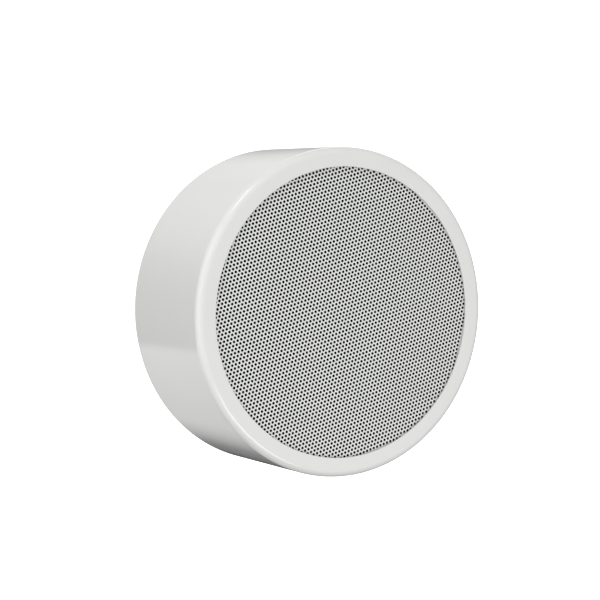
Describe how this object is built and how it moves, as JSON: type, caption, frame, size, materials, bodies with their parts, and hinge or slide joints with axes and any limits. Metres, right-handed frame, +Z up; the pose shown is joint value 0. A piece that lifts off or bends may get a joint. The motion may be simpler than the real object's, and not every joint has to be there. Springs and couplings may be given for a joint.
{
  "type": "wall-mounted voice alarm sounder",
  "caption": "Round white surface-mounted voice alarm sounder: drum housing with a perforated front over a cone loudspeaker, twist-locked to a wall plate.",
  "frame": {"origin": "centre of the wall plate's rear face, on the wall", "axes": "+Y into the wall along the drum's axis, so the grille faces -Y; +Z up; +X to the right as seen from the front"},
  "size_m": [0.2, 0.0866, 0.2],
  "materials": {
    "white_paint": "satin white powder coat",
    "white_paint_grille": "satin white powder coat on perforated steel",
    "plated_steel": "bright zinc plate",
    "black_steel": "matte black paint on pressed steel",
    "core_steel": "stacked plates with varnished edges",
    "ferrite": "ground ferrite",
    "brass": "plain turned brass",
    "bright_metal": "drawn can",
    "copper": "enamelled copper wire",
    "rubber": "matte moulded rubber",
    "foam": "closed-cell foam tape",
    "cloth": "open-weave acoustic cloth",
    "spider_cloth": "resin-treated corrugated cloth",
    "cone_paper": "pressed pulp, black",
    "coil_film": "polyimide film",
    "winding_tape": "yellow insulating tape over the winding",
    "board": "laminated insulating board",
    "black_plastic": "moulded, fine texture",
    "ivory_plastic": "natural nylon",
    "red_plastic": "dipped film capacitor case",
    "blue_wire": "wire insulation",
    "grey_wire": "wire insulation",
    "red_wire": "wire insulation",
    "ceramic": "glazed steatite, held as gloss plastic here"
  },
  "bodies": {
    "wall_base": {"wall_plate": "plated_steel", "cable_grommet": "rubber", "earth_screw": "brass", "earth_washer": "brass"},
    "drum": {"housing": "white_paint", "bayonet_lugs": "plated_steel", "front_studs": "plated_steel", "stud_washers": "plated_steel", "stud_nuts": "plated_steel", "grille_gasket": "foam", "grille": "white_paint_grille", "acoustic_cloth": "cloth", "baffle_ring": "black_plastic", "basket": "black_steel", "basket_gasket": "rubber", "basket_screws": "plated_steel", "surround": "rubber", "spider": "spider_cloth", "top_plate": "plated_steel", "magnet": "ferrite", "pole_yoke": "plated_steel", "tag_board": "board", "solder_tags": "brass", "tinsel_leads": "copper", "bracket": "plated_steel", "bracket_screw": "plated_steel", "transformer_core": "core_steel", "transformer_bobbin": "ivory_plastic", "transformer_winding": "winding_tape", "transformer_frame": "plated_steel", "transformer_pins": "brass", "transformer_screws": "plated_steel", "transformer_nuts": "plated_steel", "terminal_block": "ceramic", "terminal_inserts": "brass", "terminal_screws": "plated_steel", "tap_switch": "black_plastic", "switch_nut": "plated_steel", "capacitor": "red_plastic", "thermal_fuse": "bright_metal", "tap_wires": "blue_wire", "line_wires": "grey_wire", "speaker_wires": "red_wire", "cable_tie": "ivory_plastic"},
    "cone_assembly": {"cone": "cone_paper", "dust_cap": "cone_paper", "coil_former": "coil_film", "voice_coil": "copper"},
    "tap_knob": {"tap_knob": "black_plastic"}
  },
  "joints": [
    {"name": "twist_lock", "type": "hinge", "parent": "wall_base", "child": "drum", "pos_m": [0, 0, 0], "axis": [0, -1, 0], "range_deg": [0, 18]},
    {"name": "cone_travel", "type": "slide", "parent": "drum", "child": "cone_assembly", "axis": [0, -1, 0], "range_m": [-0.0025, 0.0025], "stiffness_N_per_m": 1800, "deforming": ["surround", "spider", "tinsel_leads"]},
    {"name": "tap_select", "type": "hinge", "parent": "drum", "child": "tap_knob", "pos_m": [0.017, -0.0222, -0.068], "axis": [0, -1, 0], "range_deg": [0, 120]}
  ]
}
